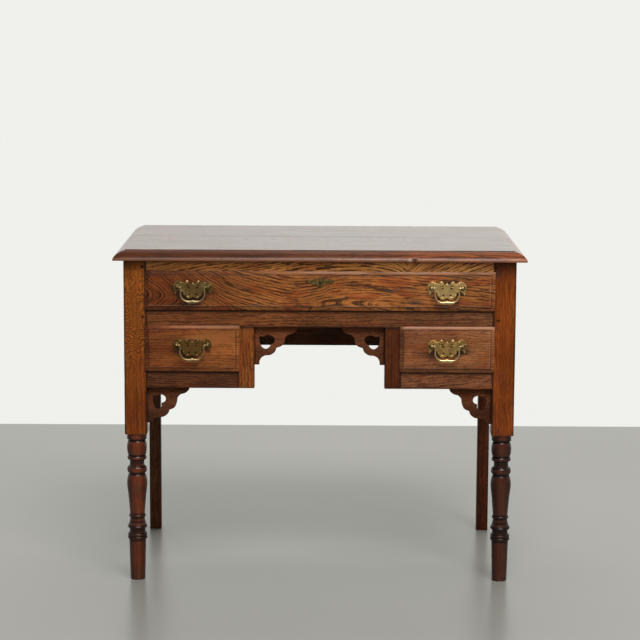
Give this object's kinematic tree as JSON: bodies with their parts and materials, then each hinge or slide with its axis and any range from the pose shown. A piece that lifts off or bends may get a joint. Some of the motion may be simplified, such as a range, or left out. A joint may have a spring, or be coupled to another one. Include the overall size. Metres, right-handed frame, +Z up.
{
  "type": "lowboy",
  "caption": "Oak lowboy with a moulded top, turned front legs, pierced brackets, a long drawer over a kneehole and a small drawer on each side, with brass bail handles.",
  "frame": {"origin": "on the floor, under the middle of the top's width and depth", "axes": "+X along the front towards the viewer's right, +Y from the front to the back, +Z up"},
  "size_m": [0.92, 0.53, 0.76],
  "materials": {
    "top_oak": "satin, waxed and worn",
    "figured_oak": "satin, waxed, strong dark figure",
    "rail_oak": "satin, waxed, dark",
    "leg_oak": "polished, warm red-brown",
    "dark_oak": "dull, dark stained",
    "drawer_oak": "satin, waxed, fine grained",
    "inside_oak": "dry, unpolished",
    "cast_brass": "aged, rubbed on the edges",
    "lock_iron": "dull, blackened"
  },
  "bodies": {
    "carcase": {"top": "top_oak", "top_rail": "figured_oak", "mid_rail": "rail_oak", "lower_rail_left": "rail_oak", "lower_rail_right": "rail_oak", "knee_bracket_left": "rail_oak", "knee_bracket_right": "rail_oak", "outer_bracket_left": "rail_oak", "outer_bracket_right": "rail_oak", "front_leg_left": "leg_oak", "front_leg_right": "leg_oak", "inner_stile_left": "leg_oak", "inner_stile_right": "leg_oak", "side_panel_left": "leg_oak", "side_panel_right": "leg_oak", "back_board": "dark_oak", "rear_leg_left": "dark_oak", "rear_leg_right": "dark_oak", "partition_left": "inside_oak", "partition_right": "inside_oak", "long_runner_left": "inside_oak", "long_runner_right": "inside_oak", "small_runner_outer_left": "inside_oak", "small_runner_outer_right": "inside_oak", "small_runner_inner_left": "inside_oak", "small_runner_inner_right": "inside_oak"},
    "long_drawer": {"long_drawer_front": "figured_oak", "long_drawer_side_left": "inside_oak", "long_drawer_side_right": "inside_oak", "long_drawer_back": "inside_oak", "long_drawer_bottom": "inside_oak", "long_left_backplate": "cast_brass", "long_left_post_left": "cast_brass", "long_left_post_right": "cast_brass", "long_right_backplate": "cast_brass", "long_right_post_left": "cast_brass", "long_right_post_right": "cast_brass", "escutcheon": "cast_brass", "lock_case": "lock_iron"},
    "small_drawer_left": {"small_drawer_left_front": "drawer_oak", "small_drawer_left_side_left": "inside_oak", "small_drawer_left_side_right": "inside_oak", "small_drawer_left_back": "inside_oak", "small_drawer_left_bottom": "inside_oak", "small_left_backplate": "cast_brass", "small_left_post_left": "cast_brass", "small_left_post_right": "cast_brass"},
    "small_drawer_right": {"small_drawer_right_front": "drawer_oak", "small_drawer_right_side_left": "inside_oak", "small_drawer_right_side_right": "inside_oak", "small_drawer_right_back": "inside_oak", "small_drawer_right_bottom": "inside_oak", "small_right_backplate": "cast_brass", "small_right_post_left": "cast_brass", "small_right_post_right": "cast_brass"},
    "lock_bolt": {"lock_bolt": "lock_iron"},
    "long_left_bail": {"long_left_bail": "cast_brass"},
    "long_right_bail": {"long_right_bail": "cast_brass"},
    "small_left_bail": {"small_left_bail": "cast_brass"},
    "small_right_bail": {"small_right_bail": "cast_brass"}
  },
  "joints": [
    {"name": "long_drawer_slide", "type": "slide", "parent": "carcase", "child": "long_drawer", "axis": [0, -1, 0], "range_m": [0, 0.36]},
    {"name": "small_drawer_left_slide", "type": "slide", "parent": "carcase", "child": "small_drawer_left", "axis": [0, -1, 0], "range_m": [0, 0.36]},
    {"name": "small_drawer_right_slide", "type": "slide", "parent": "carcase", "child": "small_drawer_right", "axis": [0, -1, 0], "range_m": [0, 0.36]},
    {"name": "lock_bolt_throw", "type": "slide", "parent": "long_drawer", "child": "lock_bolt", "axis": [0, 0, 1], "range_m": [0, 0.008]},
    {"name": "long_left_bail_swing", "type": "hinge", "parent": "long_drawer", "child": "long_left_bail", "pos_m": [-0.283, -0.26, 0.6785], "axis": [-1, 0, 0], "range_deg": [0, 100]},
    {"name": "long_right_bail_swing", "type": "hinge", "parent": "long_drawer", "child": "long_right_bail", "pos_m": [0.283, -0.26, 0.6785], "axis": [-1, 0, 0], "range_deg": [0, 100]},
    {"name": "small_left_bail_swing", "type": "hinge", "parent": "small_drawer_left", "child": "small_left_bail", "pos_m": [-0.285, -0.26, 0.54725], "axis": [-1, 0, 0], "range_deg": [0, 100]},
    {"name": "small_right_bail_swing", "type": "hinge", "parent": "small_drawer_right", "child": "small_right_bail", "pos_m": [0.285, -0.26, 0.54725], "axis": [-1, 0, 0], "range_deg": [0, 100]}
  ]
}
